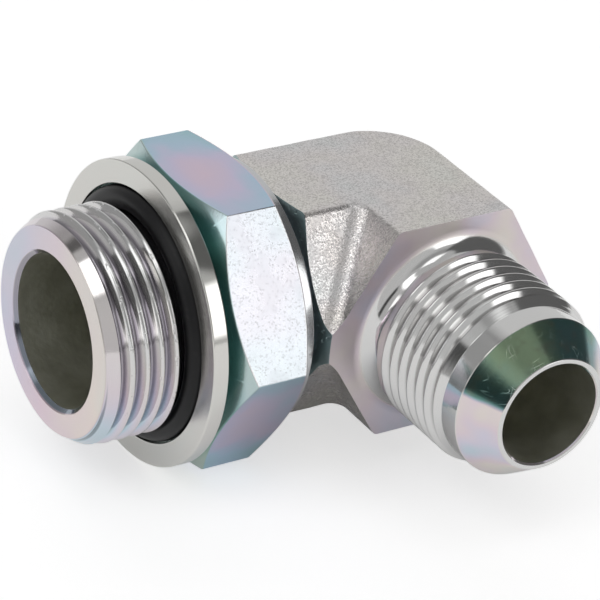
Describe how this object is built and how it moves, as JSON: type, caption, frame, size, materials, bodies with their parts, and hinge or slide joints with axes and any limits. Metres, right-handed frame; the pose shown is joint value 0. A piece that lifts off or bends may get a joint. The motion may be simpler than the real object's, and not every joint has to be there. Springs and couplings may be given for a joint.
{
  "type": "adjustable elbow fitting",
  "caption": "Right-angle hydraulic elbow adapter with a lock-nut port stud sealed by an O-ring on one arm and a 37 degree flare end on the other.",
  "frame": {"origin": "on the port stud's axis, in the plane of the retaining ring's front face, where the port's face comes", "axes": "-X along the port stud, out of its mouth into the port; -Y along the flare end, out of its mouth; +Z square to the plane of the elbow, out of the top flat"},
  "size_m": [0.0711, 0.0694, 0.0442],
  "materials": {
    "elbow_body": "zinc plated, iridescent passivation over forged and turned surfaces",
    "lock_nut": "zinc plated, blue to violet passivation",
    "retaining_ring": "zinc plated, satin turned",
    "o_ring": "matt black nitrile rubber"
  },
  "bodies": {
    "elbow": {"elbow_body": "elbow_body"},
    "seal": {"retaining_ring": "retaining_ring", "o_ring": "o_ring"},
    "nut": {"lock_nut": "lock_nut"}
  },
  "joints": [
    {"name": "seal_slide", "type": "slide", "parent": "elbow", "child": "seal", "axis": [-1, 0, 0], "range_m": [-0.00158, 0.00074]},
    {"name": "nut_turn", "type": "hinge", "parent": "seal", "child": "nut", "pos_m": [0.01009, 0, 0], "axis": [-1, 0, 0], "range_deg": [-245, 115]}
  ],
  "couplings": [
    {"joint": "seal_slide", "follows": "nut_turn", "m_per_rad": 0.00036749}
  ]
}
